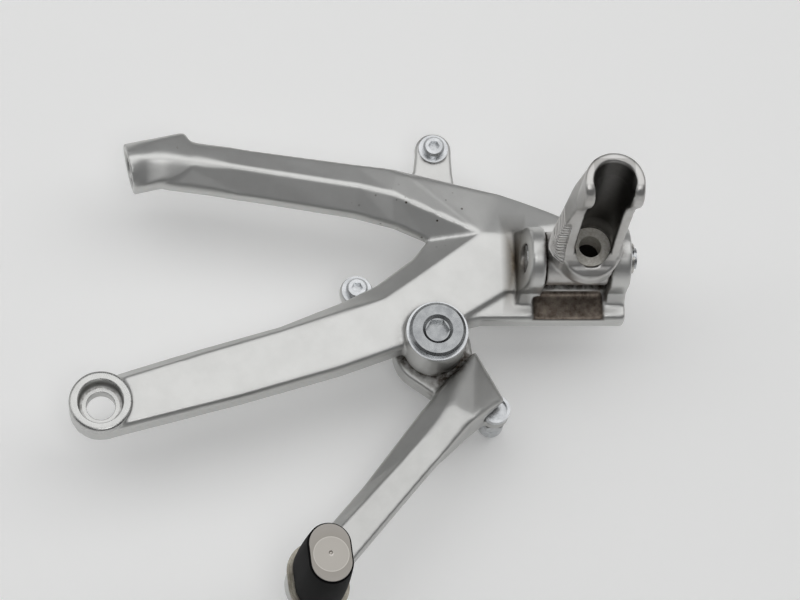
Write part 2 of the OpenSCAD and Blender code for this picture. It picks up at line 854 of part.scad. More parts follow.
module toe_peg_core() {
    color(CAST)
        at_toe()
            difference() {
                union() {
                    translate([0, 0, collar_t])
                        linear_extrude(toe_h - collar_t)
                            oval(toe_w, toe_l);
                    linear_extrude(collar_t)
                        oval(toe_w - 4, toe_l - 4);
                }
                // Turned end face with its centre mark
                translate([0, 0, toe_h - 0.5])
                    cylinder(h = 1, r1 = 0.3, r2 = 1.2);
                translate([0, 0, -1])
                    cylinder(h = 13, r = toe_screw_r);
            }
}

module toe_peg_rubber() {
    foot = [toe_w + 2 * toe_rubber_t, toe_l + 2 * toe_rubber_t];
    end = [toe_w + 1.4, toe_l + 1.4];
    color(RUBBER)
        at_toe()
            translate([0, 0, collar_t])
                difference() {
                    linear_extrude(toe_h - collar_t - 0.5, scale = [end[0] / foot[0], end[1] / foot[1]],
                        slices = 1)
                        oval(foot[0], foot[1], $fn = 48);
                    translate([0, 0, -1])
                        linear_extrude(toe_h)
                            oval(toe_w, toe_l);
                }
}

// Stepped oval foot of the toe peg: three steps that widen towards the lever
module toe_peg_collar() {
    steps = 3;
    color(STEEL)
        at_toe()
            difference() {
                for (i = [0 : steps - 1])
                    translate([0, 0, i * collar_t / steps])
                        linear_extrude(collar_t / steps)
                            oval(toe_w + 8 - 1.4 * i, toe_l + 7 - 1.4 * i);
                translate([0, 0, -1])
                    linear_extrude(collar_t + 2)
                        oval(toe_w - 4, toe_l - 4);
            }
}

module toe_peg_screw() {
    color(ZINC)
        at_toe()
            difference() {
                union() {
                    translate([0, 0, -toe_pad_t])
                        cylinder(h = toe_pad_t + 11, r = toe_screw_r);
                    translate([0, 0, -toe_pad_t - 3.2])
                        cylinder(h = 3.2, r = toe_screw_head_r);
                }
                translate([0, 0, -toe_pad_t - 4])
                    linear_extrude(3)
                        hexagon(4);
            }
}

hanger();
upper_mount_insert();
pivot_bolt();
pivot_washer_front();
pivot_washer_thrust();
pivot_washer_rear();
pivot_nut();
upper_lug_screw();
upper_lug_washer();
lower_lug_screw();
lower_lug_washer();
hinge_pin();
hinge_washer();
hinge_circlip();
return_spring();
footpeg();
peg_ring();
gear_lever();
lever_bush();
lever_seal_front();
lever_seal_rear();
linkage_stud();
linkage_nut();
toe_peg_core();
toe_peg_rubber();
toe_peg_collar();
toe_peg_screw();
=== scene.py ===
import math

import bpy
import numpy as np
from mathutils import Matrix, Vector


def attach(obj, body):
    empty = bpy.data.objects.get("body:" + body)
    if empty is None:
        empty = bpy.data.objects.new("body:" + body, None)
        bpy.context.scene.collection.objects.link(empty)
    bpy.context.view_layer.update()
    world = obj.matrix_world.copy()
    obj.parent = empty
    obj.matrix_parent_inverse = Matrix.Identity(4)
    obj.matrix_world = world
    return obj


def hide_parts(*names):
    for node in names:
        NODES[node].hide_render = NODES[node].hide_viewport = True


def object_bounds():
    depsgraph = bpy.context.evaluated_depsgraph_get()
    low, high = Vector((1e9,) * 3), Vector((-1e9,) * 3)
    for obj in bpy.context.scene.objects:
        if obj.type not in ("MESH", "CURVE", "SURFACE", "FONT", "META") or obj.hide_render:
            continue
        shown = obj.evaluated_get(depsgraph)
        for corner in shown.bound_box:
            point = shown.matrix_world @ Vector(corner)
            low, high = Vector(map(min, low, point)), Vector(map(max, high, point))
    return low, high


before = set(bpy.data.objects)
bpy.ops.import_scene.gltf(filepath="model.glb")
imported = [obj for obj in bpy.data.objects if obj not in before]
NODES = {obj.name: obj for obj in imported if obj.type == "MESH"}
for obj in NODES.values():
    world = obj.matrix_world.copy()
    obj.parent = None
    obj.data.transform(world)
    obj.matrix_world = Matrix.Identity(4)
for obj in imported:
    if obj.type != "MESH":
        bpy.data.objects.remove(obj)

cad_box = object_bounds()
MM = 0.001

# Fine ribs on the left of the peg: how far right and between which heights they reach
RIB_LEFT = 173.0
RIB_LOW = 36
RIB_HIGH = 66
RIB_PITCH = 2.0
RIB_DEPTH = 0.4
# Upper boss: the middle of its open end, and the direction from there along its bore
BOSS_END = (10.2, 97.0)
BOSS_AXIS = (0.974, 0.225)
# Foot of the toe peg, and how far it is turned about its axis and leans outwards
TOE_FOOT = (80.4, -69.0, 10.0)
TOE_TURN = math.radians(6)
TOE_LEAN = math.radians(4)
# Middle of the toe peg's outer end
TOE_END = (83.2, -69.6)


# Shapes
def mesh_piece(name, co, faces, body, slot, material):
    """A mesh from arrays of corners (in mm) and faces, riding on a CAD body if it has one."""
    mesh = bpy.data.meshes.new(name)
    co = np.asarray(co, float).reshape(-1, 3) * MM
    count, sides = faces.shape
    mesh.vertices.add(len(co))
    mesh.vertices.foreach_set("co", co.astype(np.float32).ravel())
    mesh.loops.add(count * sides)
    mesh.loops.foreach_set("vertex_index", faces.astype(np.int32).ravel())
    mesh.polygons.add(count)
    mesh.polygons.foreach_set("loop_start", np.arange(count, dtype=np.int32) * sides)
    mesh.polygons.foreach_set("use_smooth", np.full(count, True))
    mesh.update(calc_edges=True)
    mesh.validate()
    mesh.materials.append(material)
    piece = bpy.data.objects.new(name, mesh)
    bpy.context.scene.collection.objects.link(piece)
    if body:
        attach(piece, body)
    return piece


def grid(rows, cols, round_rows=True, round_cols=True):
    """Quads of a grid in which corner (i, j) is number i * cols + j. It can close on
    itself either way."""
    quad_rows = rows if round_rows else rows - 1
    quad_cols = cols if round_cols else cols - 1
    i, j = np.meshgrid(np.arange(quad_rows), np.arange(quad_cols), indexing="ij")
    i2 = (i + 1) % rows
    j2 = (j + 1) % cols
    return np.stack([i * cols + j, i * cols + j2, i2 * cols + j2, i2 * cols + j], -1).reshape(-1, 4)


def turned(profile, steps=128):
    """Surface of revolution about Z of a closed profile of (radius, height) points:
    P(t, k) = (-r_k cos t, -r_k sin t, h_k)."""
    r, h = np.array(profile, float).T
    t = np.linspace(0, 2 * math.pi, steps, endpoint=False)[:, None]
    co = np.stack([-r * np.cos(t), -r * np.sin(t), np.broadcast_to(h, (steps, len(h)))], -1)
    return co, grid(steps, len(r))[:, ::-1]


def rounded(points, reach, steps=7):
    """A closed outline whose corners are cut by quadratic arcs: each corner c becomes
    (1-s)^2 a + 2s(1-s) c + s^2 b, with a and b the given reach before and after it."""
    p = np.array(points, float)
    before = np.roll(p, 1, 0) - p
    after = np.roll(p, -1, 0) - p
    length_before = np.linalg.norm(before, axis=1)
    length_after = np.linalg.norm(after, axis=1)
    reach = np.minimum(reach, 0.45 * np.minimum(length_before, length_after))[:, None]
    a = p + before / length_before[:, None] * reach
    b = p + after / length_after[:, None] * reach
    s = np.linspace(0, 1, steps)[None, :, None]
    arcs = (1 - s) ** 2 * a[:, None] + 2 * s * (1 - s) * p[:, None] + s**2 * b[:, None]
    return arcs.reshape(-1, 2)


def swept(path, radius, sides=16):
    """A round wire along a path: at every point a circle in the plane of the path's
    parallel-carried normals, closed by pulling both end circles to a point."""
    along = np.gradient(path, axis=0)
    along /= np.linalg.norm(along, axis=1)[:, None]
    normal = np.empty_like(path)
    carried = np.cross(along[0], [0.3, 0.5, 0.8])
    for k, direction in enumerate(along):
        carried = carried - direction * (carried @ direction)
        carried /= np.linalg.norm(carried)
        normal[k] = carried
    side = np.cross(along, normal)
    a = np.linspace(0, 2 * math.pi, sides, endpoint=False)[None, :, None]
    co = path[:, None] + radius * (np.cos(a) * normal[:, None] + np.sin(a) * side[:, None])
    ends = [np.repeat(path[k, None, None], sides, 1) for k in (0, -1)]
    co = np.concatenate([ends[0], co, ends[1]])
    return co, grid(len(co), sides, round_rows=False)


def smooth_step(x, low, high):
    """0 below low, 1 above high, 3t^2 - 2t^3 between."""
    t = np.clip((x - low) / (high - low), 0, 1)
    return t * t * (3 - 2 * t)


def height_on(line, x):
    """The y at x of a line through (x, y) points."""
    xs, ys = zip(*line)
    return np.interp(x, xs, ys)


# Castings
def read_points(mesh):
    """Points of a mesh, in mm."""
    co = np.empty(len(mesh.vertices) * 3, np.float32)
    mesh.vertices.foreach_get("co", co)
    return co.reshape(-1, 3).astype(float) / MM


def write_points(mesh, co):
    """Puts points in mm back into their mesh."""
    mesh.vertices.foreach_set("co", (co * MM).astype(np.float32).ravel())


def cast_skin(node, body, material, voxel, passes,
              shape=None, keep=None, melt=None, melt_passes=0, carve=None):
    """The outer skin of a casting: the CAD solid as an even net with the given voxel, whose
    points move towards the mean of their neighbours, P += w (mean - P) / 2, so that edges
    round and inner corners fill. Points that end close to the CAD solid go back onto it,
    so that flat faces stay flat. The last words are functions of the points:
    shape(P) first trims the net,
    keep(P) gives the weight w from 0 to 1,
    melt(P) gives the weight of melt_passes more, where two forms flow into each other,
    carve(P) cuts fine detail at the end."""
    source = NODES[node].copy()
    source.data = NODES[node].data.copy()
    source.parent = None
    bpy.context.scene.collection.objects.link(source)
    weld = source.modifiers.new("weld", "WELD")
    weld.merge_threshold = 1e-6
    net = source.modifiers.new("net", "REMESH")
    net.mode = "VOXEL"
    net.voxel_size = voxel * MM
    depsgraph = bpy.context.evaluated_depsgraph_get()
    mesh = bpy.data.meshes.new_from_object(source.evaluated_get(depsgraph))
    source.modifiers.clear()
    co = read_points(mesh)
    count = len(co)
    edges = np.empty(len(mesh.edges) * 2, np.int32)
    mesh.edges.foreach_get("vertices", edges)
    a, b = edges.reshape(-1, 2).T
    neighbours = np.bincount(edges, minlength=count)[:, None]

    def soften(values, w, times):
        for _ in range(times):
            sums = [np.bincount(a, v[b], count) + np.bincount(b, v[a], count) for v in values.T]
            values = values + (np.stack(sums, 1) / neighbours - values) * (0.5 * w[:, None])
        return values

    everywhere = np.ones(count)
    if shape:
        co = shape(co)
    co = soften(co, keep(co) if keep else everywhere, passes)
    if melt:
        co = soften(co, melt(co), melt_passes)
    write_points(mesh, co)
    piece = bpy.data.objects.new(node + "_skin", mesh)
    bpy.context.scene.collection.objects.link(piece)
    seat = piece.modifiers.new("seat", "SHRINKWRAP")
    seat.target = source
    depsgraph = bpy.context.evaluated_depsgraph_get()
    seated = read_points(piece.evaluated_get(depsgraph).data)
    piece.modifiers.clear()
    bpy.data.objects.remove(source)
    # Points up to 0.04 mm off go all the way back, those 0.14 mm off or more stay
    off = np.linalg.norm(seated - co, axis=1)
    share = soften((1 - smooth_step(off, 0.04, 0.14))[:, None], everywhere, 3)
    co = soften(co + share * (seated - co), everywhere, 2)
    if carve:
        co = carve(co)
    write_points(mesh, co)
    mesh.polygons.foreach_set("use_smooth", np.full(len(mesh.polygons), True))
    mesh.materials.clear()
    mesh.materials.append(material)
    mesh.update()
    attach(piece, body)
    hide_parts(node)


# Nodes of the materials
def linear(code):
    """sRGB hex to linear colour."""
    c = [int(code[i : i + 2], 16) / 255 for i in (0, 2, 4)]
    return [x / 12.92 if x <= 0.04045 else ((x + 0.055) / 1.055) ** 2.4 for x in c] + [1.0]


def scale_of(size):
    """Scale of a pattern whose features are this many mm apart."""
    return 1 / (size * MM)


# What shows on the castings: slow clouds, freckles of dirt and the grain of blasting, which
# is drawn about twice as coarse as it is, so that it shows
CLOUDS = 9.09
FRECKLES = 2.38
GRAIN = 0.417


def add(tree, kind, settings=(), links=()):
    """Adds one node: settings name its own options or its inputs, links give each input
    the (node, output) that feeds it. Stops of a ramp are (place, hex) pairs."""
    made = tree.nodes.new(kind)
    for key, value in dict(settings).items():
        if key == "stops":
            ramp = made.color_ramp
            while len(ramp.elements) < len(value):
                ramp.elements.new(0.5)
            for stop, (place, code) in zip(ramp.elements, value):
                stop.position = place
                stop.color = linear(code)
        elif isinstance(key, str) and hasattr(made, key):
            setattr(made, key, value)
        else:
            made.inputs[key].default_value = value
    for key, (source, out) in dict(links).items():
        tree.links.new(source.outputs[out], made.inputs[key])
    return made


def new_finish(name, colour, metallic, roughness, **sockets):
    """A material with its Principled shader and output."""
    material = bpy.data.materials.new(name)
    material.use_nodes = True
    tree = material.node_tree
    tree.nodes.clear()
    sockets.update({"Base Color": linear(colour), "Metallic": metallic, "Roughness": roughness})
    shader = add(tree, "ShaderNodeBsdfPrincipled", sockets)
    add(tree, "ShaderNodeOutputMaterial", links={"Surface": (shader, "BSDF")})
    return material, tree, shader


def box_share(tree, place, centre, half, soft):
    """1 inside a box given by its middle and half size in mm, 0 outside, and between them
    over a share of the size that soft gives."""
    middle = add(tree, "ShaderNodeVectorMath", {"operation": "SUBTRACT", 1: [c * MM for c in centre]},
                 {0: (place, "Object")})
    share = add(tree, "ShaderNodeVectorMath", {"operation": "DIVIDE", 1: [h * MM for h in half]},
                {0: (middle, "Vector")})
    size = add(tree, "ShaderNodeVectorMath", {"operation": "ABSOLUTE"}, {0: (share, "Vector")})
    apart = add(tree, "ShaderNodeSeparateXYZ", links={"Vector": (size, "Vector")})
    wide = add(tree, "ShaderNodeMath", {"operation": "MAXIMUM"}, {0: (apart, "X"), 1: (apart, "Y")})
    widest = add(tree, "ShaderNodeMath", {"operation": "MAXIMUM"}, {0: (wide, 0), 1: (apart, "Z")})
    edges = {"From Min": 1 + soft, "From Max": 1 - soft}
    return add(tree, "ShaderNodeMapRange", edges, {"Value": (widest, 0)})


def box_freckles(tree, place, under, centre, half, soft, colour, speckle):
    """Lays freckles of two colours, about 2 mm wide, over a colour inside a soft box."""
    inside = box_share(tree, place, centre, half, soft)
    freckle = add(tree, "ShaderNodeTexNoise", {"Scale": scale_of(FRECKLES), "Detail": 6, "Roughness": 0.65},
                  {"Vector": (place, "Object")})
    both = add(tree, "ShaderNodeValToRGB", {"stops": [(0.3, colour), (0.72, speckle)]},
               {"Fac": (freckle, "Fac")})
    return add(tree, "ShaderNodeMix", {"data_type": "RGBA"},
               {0: (inside, "Result"), 6: under, 7: (both, "Color")})


def specked(tree, place, under, centre, half, soft):
    """Scatters brown dots about 1 mm wide, in cells of 3 mm, over a colour in a soft box."""
    cells = add(tree, "ShaderNodeTexVoronoi", {"Scale": scale_of(3.03)}, {"Vector": (place, "Object")})
    dot = add(tree, "ShaderNodeMapRange", {"From Min": 0.2, "From Max": 0.1},
              {"Value": (cells, "Distance")})
    # A random channel of each cell's colour leaves out rather more than half of the dots
    lot = add(tree, "ShaderNodeSeparateColor", links={"Color": (cells, "Color")})
    drawn = add(tree, "ShaderNodeMath", {"operation": "GREATER_THAN", 1: 0.55}, {0: (lot, "Red")})
    dots = add(tree, "ShaderNodeMath", {"operation": "MULTIPLY"}, {0: (dot, "Result"), 1: (drawn, 0)})
    inside = box_share(tree, place, centre, half, soft)
    share = add(tree, "ShaderNodeMath", {"operation": "MULTIPLY"}, {0: (dots, 0), 1: (inside, "Result")})
    return add(tree, "ShaderNodeMix", {"data_type": "RGBA", 7: linear("3F3229")}, {0: (share, 0), 6: under})


def rib_bump(tree, place, grain_bump):
    """Sharpens the grip ribs that grip_ribs cuts: the same sine along the peg, as bump."""
    at = add(tree, "ShaderNodeSeparateXYZ", links={"Vector": (place, "Object")})
    radians_per_metre = 2 * math.pi / (RIB_PITCH * MM)
    angle = add(tree, "ShaderNodeMath", {"operation": "MULTIPLY", 1: radians_per_metre}, {0: (at, "Z")})
    height = add(tree, "ShaderNodeMath", {"operation": "SINE"}, {0: (angle, 0)})
    # The ribs fade over 1 mm towards the right and over 2 mm at their two ends
    fades = [("X", RIB_LEFT + 1, RIB_LEFT), ("Z", RIB_LOW, RIB_LOW + 2), ("Z", RIB_HIGH, RIB_HIGH - 2)]
    for axis, nothing, full in fades:
        fade = add(tree, "ShaderNodeMapRange", {"From Min": nothing * MM, "From Max": full * MM},
                   {"Value": (at, axis)})
        height = add(tree, "ShaderNodeMath", {"operation": "MULTIPLY"}, {0: (height, 0), 1: (fade, "Result")})
    return add(tree, "ShaderNodeBump", {"Strength": 1.0, "Distance": 2 * RIB_DEPTH * MM},
               {"Height": (height, 0), "Normal": (grain_bump, "Normal")})


# Materials
def cast_finish(name, light, dark, rough, shade_and_grime, box_marks=(), specks=None, ribbed=False):
    """Cast aluminium, bead blasted and clear lacquered: an even satin grey with a fine
    grain of about 0.4 mm, slow clouds of 9 mm, and in its inner corners a brown darkening
    that is painted shade together with soiling, broken into patches. A box mark is what
    box_freckles takes after the colour (soiling, and painted shade in recesses), and specks
    what specked takes."""
    material, tree, shader = new_finish(name, light, 1.0, rough)
    place = add(tree, "ShaderNodeTexCoord")
    cloud = add(tree, "ShaderNodeTexNoise", {"Scale": scale_of(CLOUDS), "Detail": 4, "Roughness": 0.6},
                {"Vector": (place, "Object")})
    tone = add(tree, "ShaderNodeValToRGB", {"stops": [(0.35, dark), (0.62, light)]}, {"Fac": (cloud, "Fac")})
    # Corners that light hardly reaches from 7 mm round are painted dark brown: painted shade together with
    # dirt, in broken patches
    shade = add(tree, "ShaderNodeAmbientOcclusion", {"samples": 8, "Distance": 7 * MM})
    corner = add(tree, "ShaderNodeMapRange", {"From Min": 0.82, "From Max": 0.4, "To Max": shade_and_grime},
                 {"Value": (shade, "AO")})
    patch = add(tree, "ShaderNodeTexNoise", {"Scale": scale_of(FRECKLES), "Detail": 5},
                {"Vector": (place, "Object")})
    broken = add(tree, "ShaderNodeMapRange", {"From Min": 0.3, "From Max": 0.6}, {"Value": (patch, "Fac")})
    shade_and_dirt = add(tree, "ShaderNodeMath", {"operation": "MULTIPLY", "use_clamp": True},
               {0: (corner, "Result"), 1: (broken, "Result")})
    colour = add(tree, "ShaderNodeMix", {"data_type": "RGBA", 7: linear("4A4036")},
                 {0: (shade_and_dirt, 0), 6: (tone, "Color")})
    for box_mark in box_marks:
        colour = box_freckles(tree, place, (colour, 2), *box_mark)
    if specks:
        colour = specked(tree, place, (colour, 2), *specks)
    tree.links.new(colour.outputs[2], shader.inputs["Base Color"])
    grain = add(tree, "ShaderNodeTexNoise", {"Scale": scale_of(GRAIN), "Detail": 2},
                {"Vector": (place, "Object")})
    sheen = add(tree, "ShaderNodeMapRange", {"To Min": rough - 0.05, "To Max": rough + 0.07},
                {"Value": (grain, "Fac")})
    dull = add(tree, "ShaderNodeMix", {"data_type": "FLOAT", 3: 0.7}, {0: (shade_and_dirt, 0), 2: (sheen, "Result")})
    tree.links.new(dull.outputs[0], shader.inputs["Roughness"])
    bump = add(tree, "ShaderNodeBump", {"Strength": 0.12, "Distance": 0.1 * MM}, {"Height": (grain, "Fac")})
    if ribbed:
        bump = rib_bump(tree, place, bump)
    tree.links.new(bump.outputs["Normal"], shader.inputs["Normal"])
    return material


def plain_metal(name, light, dark, rough, cloud_size, grain_size, strength, metallic=1.0):
    """A metal with a mottled tone: sizes of its clouds and of its grain in mm, and the
    strength of the grain as bump."""
    material, tree, shader = new_finish(name, light, metallic, rough)
    place = add(tree, "ShaderNodeTexCoord")
    cloud = add(tree, "ShaderNodeTexNoise", {"Scale": scale_of(cloud_size), "Detail": 5, "Roughness": 0.65},
                {"Vector": (place, "Object")})
    tone = add(tree, "ShaderNodeValToRGB", {"stops": [(0.36, dark), (0.62, light)]}, {"Fac": (cloud, "Fac")})
    tree.links.new(tone.outputs["Color"], shader.inputs["Base Color"])
    grain = add(tree, "ShaderNodeTexNoise", {"Scale": scale_of(grain_size), "Detail": 3},
                {"Vector": (place, "Object")})
    sheen = add(tree, "ShaderNodeMapRange", {"To Min": rough - 0.08, "To Max": rough + 0.1},
                {"Value": (grain, "Fac")})
    tree.links.new(sheen.outputs["Result"], shader.inputs["Roughness"])
    bump = add(tree, "ShaderNodeBump", {"Strength": strength, "Distance": 0.1 * MM},
               {"Height": (grain, "Fac")})
    tree.links.new(bump.outputs["Normal"], shader.inputs["Normal"])
    return material


def toe_finish():
    """End of the toe peg, a dull and slightly yellow casting: a circle of 6.4 mm radius is
    turned a little brighter, with a fine bright line round it and a light centre mark."""
    material, tree, shader = new_finish("faced_toe_casting", "AAA69F", 1.0, 0.42)
    place = add(tree, "ShaderNodeTexCoord")
    centre = (TOE_END[0] * MM, TOE_END[1] * MM, 0)
    middle = add(tree, "ShaderNodeVectorMath", {"operation": "SUBTRACT", 1: centre}, {0: (place, "Object")})
    flat = add(tree, "ShaderNodeVectorMath", {"operation": "MULTIPLY", 1: (1, 1, 0)}, {0: (middle, "Vector")})
    radius = add(tree, "ShaderNodeVectorMath", {"operation": "LENGTH"}, {0: (flat, "Vector")})
    # The ramp runs from the middle to a radius of 12 mm
    rings = add(tree, "ShaderNodeMapRange", {"From Max": 12 * MM}, {"Value": (radius, "Value")})
    centre_mark = [(0.0, "D2CEC8"), (0.04, "CAC6C0"), (0.08, "ABA7A1")]
    turned_line = [(0.515, "A9A59F"), (0.533, "C4C0BA"), (0.55, "94908A"), (0.9, "999590")]
    tone = add(tree, "ShaderNodeValToRGB", {"stops": centre_mark + turned_line}, {"Fac": (rings, "Result")})
    tree.links.new(tone.outputs["Color"], shader.inputs["Base Color"])
    grain = add(tree, "ShaderNodeTexNoise", {"Scale": scale_of(GRAIN), "Detail": 2},
                {"Vector": (place, "Object")})
    bump = add(tree, "ShaderNodeBump", {"Strength": 0.12, "Distance": 0.1 * MM}, {"Height": (grain, "Fac")})
    tree.links.new(bump.outputs["Normal"], shader.inputs["Normal"])
    return material


def rubber_finish():
    """Moulded black rubber: near black, dull, with a pebbled skin of about 0.6 mm."""
    material, tree, shader = new_finish("moulded_black_rubber", "141415", 0.0, 0.7, IOR=1.5,
                                        **{"Specular IOR Level": 0.1})
    place = add(tree, "ShaderNodeTexCoord")
    pebble = add(tree, "ShaderNodeTexNoise", {"Scale": scale_of(0.625), "Detail": 3},
                 {"Vector": (place, "Object")})
    tone = add(tree, "ShaderNodeValToRGB", {"stops": [(0.4, "060607"), (0.66, "0D0D0E")]},
               {"Fac": (pebble, "Fac")})
    tree.links.new(tone.outputs["Color"], shader.inputs["Base Color"])
    bump = add(tree, "ShaderNodeBump", {"Strength": 0.35, "Distance": 0.2 * MM}, {"Height": (pebble, "Fac")})
    tree.links.new(bump.outputs["Normal"], shader.inputs["Normal"])
    return material


# Bead blasted casting. The corner beside the left ear is painted dark brown: painted shade
# together with dirt. The raw pocket under the peg's knuckle keeps its brown casting skin,
# painted darker as the knuckle's shadow. Dots of dirt lie along the ridge
ear_corner_shade_and_dirt = ((158.8, 56.0, 13.0), (3.0, 12.0, 10.0), 0.8, "3C342B", "6E665A")
# Brown casting skin of the pocket, painted darker as the knuckle's shadow
pocket_skin_and_shadow = ((179.0, 41.6, 4.0), (13.7, 8.0, 4.9), 0.04, "4F463F", "8C8278")
ridge_specks = ((124.0, 76.0, 8.0), (20.0, 9.0, 6.0), 0.5)
hanger_cast = cast_finish("blasted_cast_aluminium", "CCCCCA", "C7C7C5", 0.38, 1.0,
                          [ear_corner_shade_and_dirt, pocket_skin_and_shadow], specks=ridge_specks)
# Tumbled casting, a little smoother. The inside of the peg's channel is painted dark:
# painted shade, and the bore in its root is painted darker still as deeper shade
channel_painted_shade = ((184.45, 54.4, 70), (7.3, 6.7, 32.4), 0.04, "33312F", "413F3C")
# Painted deeper shade inside the bore in the peg's root
bore_painted_shade = ((184.45, 52.7, 30), (4.6, 4.6, 5.5), 0.04, "1C1B1A", "262422")
peg_cast = cast_finish("tumbled_cast_aluminium", "C4C3C1", "B8B6B3", 0.34, 0.9,
                       [channel_painted_shade, bore_painted_shade], ribbed=True)
# Satin casting of the lever, even all over
lever_cast = cast_finish("satin_cast_lever", "BEBEBC", "B8B8B6", 0.38, 1.0)
toe_cast = toe_finish()
# Turned aluminium: brighter and shinier than the casting round it
machined = plain_metal("turned_aluminium", "C2C2C0", "BABAB8", 0.26, 6.25, 0.385, 0.1)
# Worn steel collar: darker, with yellowish patches
collar_steel = plain_metal("worn_collar_steel", "A5A197", "7C786E", 0.3, 3.85, 0.333, 0.15)
# Faced steel ring: pale and coarse, with almost no mirror left. Its near white colour and low metal are
# painted light, standing in for the light that falls on it at the bottom of the peg's channel
ring_steel_painted_light = plain_metal("faced_steel_ring", "F7F4EC", "DDD8CC", 0.5, 1.11, 0.333, 0.2, 0.1)
# The bolt's head is steel painted darker than the zinc: a painted dark reflection, so that its top shows dark
# instead of mirroring the overhead lamp
bolt_steel = plain_metal("bolt_steel_dark_reflection", "A3A5A6", "8C8E90", 0.26, 3.85, 0.333, 0.15)
# Zinc plate, faintly blue where it is fresh and greyer where it has dulled
zinc = plain_metal("zinc_plated_steel", "CACCCE", "B4B6B8", 0.27, 3.33, 0.333, 0.12)
# Plain ground steel, slightly warmer than the zinc
steel = plain_metal("ground_steel", "C8C6C1", "B2B0AB", 0.28, 3.33, 0.333, 0.12)
# Sintered bronze with oil in its pores
bronze = plain_metal("sintered_bronze", "A98B52", "8A6E3C", 0.42, 2.0, 0.286, 0.2)
rubber = rubber_finish()

worn_by = [
    (hanger_cast, ["hanger"]),
    (peg_cast, ["footpeg"]),
    (lever_cast, ["gear_lever"]),
    (toe_cast, ["toe_peg_core"]),
    (collar_steel, ["toe_peg_collar"]),
    (ring_steel_painted_light, ["peg_ring"]),
    (bolt_steel, ["pivot_bolt"]),
    (bronze, ["lever_bush"]),
    (rubber, ["toe_peg_rubber", "lever_seal_front", "lever_seal_rear"]),
    (steel, ["upper_mount_insert", "pivot_washer_thrust", "hinge_circlip", "return_spring"]),
    (zinc, ["pivot_washer_front", "pivot_washer_rear", "pivot_nut", "upper_lug_screw", "upper_lug_washer",
            "lower_lug_screw", "lower_lug_washer", "hinge_pin", "hinge_washer", "linkage_stud",
            "linkage_nut", "toe_peg_screw"]),
]
for finish, names in worn_by:
    for name in names:
        NODES[name].data.materials.clear()
        NODES[name].data.materials.append(finish)


# Skins of the three castings
def along_boss(x, y):
    """Distance from the boss's open end, along its bore."""
    return (x - BOSS_END[0]) * BOSS_AXIS[0] + (y - BOSS_END[1]) * BOSS_AXIS[1]


def above_ridge(x, y):
    """Distance above the last stretch of the upper arm's ridge, which falls to the right."""
    return (x - 112) * 0.417 + (y - 84.2) * 0.909


def hanger_keep(p):
    """Full rounding on the arms, little on the machined eye, boss end and hinge."""
    x, y, z = p.T
    eye = smooth_step(np.hypot(x, y), 12.5, 15)
    hinge = 1 - 0.75 * smooth_step(x, 156, 160) * smooth_step(z, 9.8, 12)
    boss = smooth_step(along_boss(x, y), 1, 3)
    return 0.25 + 0.75 * eye * hinge * boss


def hanger_melt(p):
    """Where the boss flows into the upper arm, and the slope above the end of the ridge."""
    x, y, z = p.T
    along = along_boss(x, y)
    boss = smooth_step(along, 4, 12) * smooth_step(-along, -40, -26) * smooth_step(y, 70, 76)
    across = smooth_step(x, 110, 118) * smooth_step(-x, -160, -152)
    slope = smooth_step(above_ridge(x, y), 1.5, 4) * across * smooth_step(z, 4.5, 6.5)
    return np.maximum(boss, slope)


def trim_slope(x, y, z):
    """The slope above the ridge goes on as one face up to the hinge: z <= max(A, S), with A
    the plane of the slope beside the ridge and S falling 0.307 for each mm above y = 68.5.
    Its outline moves up by up to 1.8 mm. The lug behind it, below z = -1.5, stays on its
    screw."""
    beside_ridge = 12.5 - 0.161 * (x - 112) - 0.223 * (y - 84.2)
    below_plate = 10.5 - 0.307 * (y - 68.5)
    top = np.maximum(beside_ridge, below_plate)
    here = (above_ridge(x, y) > 0) & (x > 112) & (y > 68.5) & (z < 12.8)
    y = y + here * 0.36 * np.clip(9.9 - top, 0, 5) * smooth_step(z, -1.5, 0.5)
    z = np.where(here, np.minimum(z, top), z)
    return y, z


# Ridge of the upper arm beside the boss: its y and its z at each x
RIDGE_Y = ((8, 97.9), (24, 99.3), (57, 94.1))
RIDGE_Z = ((8, 13.6), (24, 12.5))


def trim_boss(x, y, z):
    """The boss runs out into the arm's two slopes: it loses what stands over them. They
    fall from the ridge by 0.326 for each mm above it and by 0.57 for each mm below."""
    off_ridge = y - height_on(RIDGE_Y, x)
    roof = height_on(RIDGE_Z, x) - np.where(off_ridge > 0, 0.326, 0.57) * np.abs(off_ridge)
    # It begins behind the machined end, and leaves the lower arm as it is
    share = smooth_step(x, 9, 19) * (x < 50) * (y > 75)
    return z - share * np.clip(z - roof, 0, 6)


# Dark band along the top of the lower arm, as lines from left to right: the middle of the
# arm's flat face, the band's inner edge and the arm's outline. The lifts say how far the
# last two move up
ARM_MIDDLE = ((3, -2), (53, 9), (91, 22), (118, 34))
BAND_EDGE = ((4, 8.2), (38, 16.4), (70, 26.0), (92, 35.3), (109, 41.8), (121, 50.2))
BAND_RIM = ((3, 11.4), (37, 21.3), (68, 30.6), (91, 41.0), (105, 48.2), (120, 59.4))
EDGE_LIFT = ((3, 0), (12, 0.7), (38, 2.7), (70, 2.9), (92, 1.0), (107, 0))
RIM_LIFT = ((3, 0), (12, 0.4), (37, 1.1), (68, 0.9), (91, 0.2), (105, 0))


